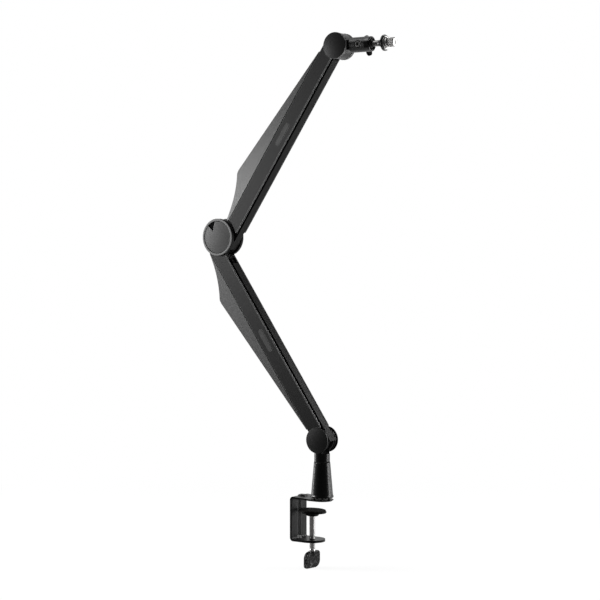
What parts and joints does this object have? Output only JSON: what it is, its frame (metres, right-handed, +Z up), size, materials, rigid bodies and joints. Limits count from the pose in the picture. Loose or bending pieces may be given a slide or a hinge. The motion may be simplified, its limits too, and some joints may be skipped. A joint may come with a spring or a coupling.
{
  "type": "microphone boom arm",
  "caption": "Desk-clamp boom arm with two cased balance arms, fin-shaped spine covers, a turning pillar and a ball head with a microphone thread.",
  "frame": {"origin": "on the pillar's axis, at the underside of the upper jaw's rubber pad, where it rests on the desk", "axes": "+Z up along the pillar, +X over the desk and the way the microphone thread points at rest, +Y to the rear, so the arms swing in the XZ plane"},
  "size_m": [0.3852, 0.0497, 0.8983],
  "materials": {
    "black_coated_steel": "satin black powder coat",
    "casing_plastic": "fine-grained charcoal",
    "inlay_plastic": "smooth grey",
    "paddle_plastic": "pebbled black",
    "pad_rubber": "matt black",
    "bearing_plastic": "natural white nylon",
    "bright_steel": "turned, bright",
    "dark_steel": "blackened"
  },
  "bodies": {
    "clamp": {"clamp_bracket": "black_coated_steel", "jaw_pad": "pad_rubber", "pillar_cone": "black_coated_steel", "cone_bush": "bearing_plastic", "cone_screw_1": "dark_steel", "cone_screw_2": "dark_steel", "cone_screw_3": "dark_steel"},
    "pressure_foot": {"pressure_plate": "black_coated_steel", "pressure_pad": "pad_rubber"},
    "screw": {"clamp_spindle": "bright_steel", "thumb_paddle": "paddle_plastic"},
    "post": {"post_fork": "black_coated_steel", "post_shaft": "bright_steel", "shaft_clip": "dark_steel", "swivel_washer": "bearing_plastic", "lower_cap_front": "casing_plastic", "lower_cap_rear": "casing_plastic", "lower_pivot_bolt": "dark_steel", "lower_pivot_nut": "dark_steel", "lower_crank": "dark_steel"},
    "lower_arm": {"lower_beam": "black_coated_steel", "lower_shell_front": "casing_plastic", "lower_shell_rear": "casing_plastic", "lower_screw_1": "dark_steel", "lower_screw_2": "dark_steel", "lower_spine_cover": "casing_plastic", "lower_badge": "inlay_plastic", "lower_spring": "dark_steel", "lower_spring_pin": "bright_steel", "lower_washer_front": "bearing_plastic", "lower_washer_rear": "bearing_plastic", "elbow_cap_front": "casing_plastic", "elbow_cap_rear": "casing_plastic", "elbow_bolt": "dark_steel", "elbow_nut": "dark_steel", "elbow_crank": "dark_steel"},
    "upper_arm": {"upper_beam": "black_coated_steel", "upper_shell_front": "casing_plastic", "upper_shell_rear": "casing_plastic", "upper_screw_1": "dark_steel", "upper_screw_2": "dark_steel", "upper_spine_cover": "casing_plastic", "upper_badge": "inlay_plastic", "upper_spring": "dark_steel", "upper_spring_pin": "bright_steel", "elbow_washer_front": "bearing_plastic", "elbow_washer_rear": "bearing_plastic", "top_cap_front": "casing_plastic", "top_cap_rear": "casing_plastic", "top_bolt": "dark_steel", "top_nut": "dark_steel"},
    "head": {"mic_knuckle": "black_coated_steel", "knuckle_washer_front": "bearing_plastic", "knuckle_washer_rear": "bearing_plastic", "clamp_bolt": "dark_steel"},
    "wing": {"wing_nut": "black_coated_steel"},
    "seat": {"ball_seat": "bearing_plastic"},
    "stud": {"ball_stud": "black_coated_steel", "thread_adapter": "bright_steel"},
    "ring": {"lock_ring": "bright_steel"}
  },
  "joints": [
    {"name": "clamp_travel", "type": "slide", "parent": "clamp", "child": "pressure_foot", "axis": [0, 0, 1], "range_m": [-0.038, 0.016]},
    {"name": "screw_turn", "type": "hinge", "parent": "pressure_foot", "child": "screw", "pos_m": [-0.02, 0, -0.06], "axis": [0, 0, 1], "range_deg": [-9125, 3845]},
    {"name": "base_swivel", "type": "hinge", "parent": "clamp", "child": "post", "pos_m": [0, 0, 0.0657], "axis": [0, 0, 1], "continuous": true},
    {"name": "lower_arm_tilt", "type": "hinge", "parent": "post", "child": "lower_arm", "pos_m": [0, 0, 0.1031], "axis": [0, 1, 0], "range_deg": [-38, 101], "deforming": ["lower_spring"]},
    {"name": "elbow_fold", "type": "hinge", "parent": "lower_arm", "child": "upper_arm", "pos_m": [-0.20959, 0, 0.44379], "axis": [0, 1, 0], "range_deg": [-69, 62], "deforming": ["upper_spring"]},
    {"name": "head_tilt", "type": "hinge", "parent": "upper_arm", "child": "head", "pos_m": [0.03446, 0, 0.76071], "axis": [0, 1, 0], "range_deg": [-110, 78]},
    {"name": "wing_nut_turn", "type": "hinge", "parent": "head", "child": "wing", "pos_m": [0.07826, 0, 0.76071], "axis": [0, 1, 0], "continuous": true},
    {"name": "ball_swing", "type": "hinge", "parent": "head", "child": "seat", "pos_m": [0.09346, 0, 0.76071], "axis": [0, 0, 1], "range_deg": [-24, 24]},
    {"name": "ball_nod", "type": "hinge", "parent": "seat", "child": "stud", "pos_m": [0.09346, 0, 0.76071], "axis": [0, 1, 0], "range_deg": [-24, 24]},
    {"name": "lock_ring_turn", "type": "hinge", "parent": "stud", "child": "ring", "pos_m": [0.12621, 0, 0.76071], "axis": [1, 0, 0], "continuous": true}
  ],
  "couplings": [
    {"joint": "screw_turn", "follows": "clamp_travel", "rad_per_m": 4188.8}
  ]
}
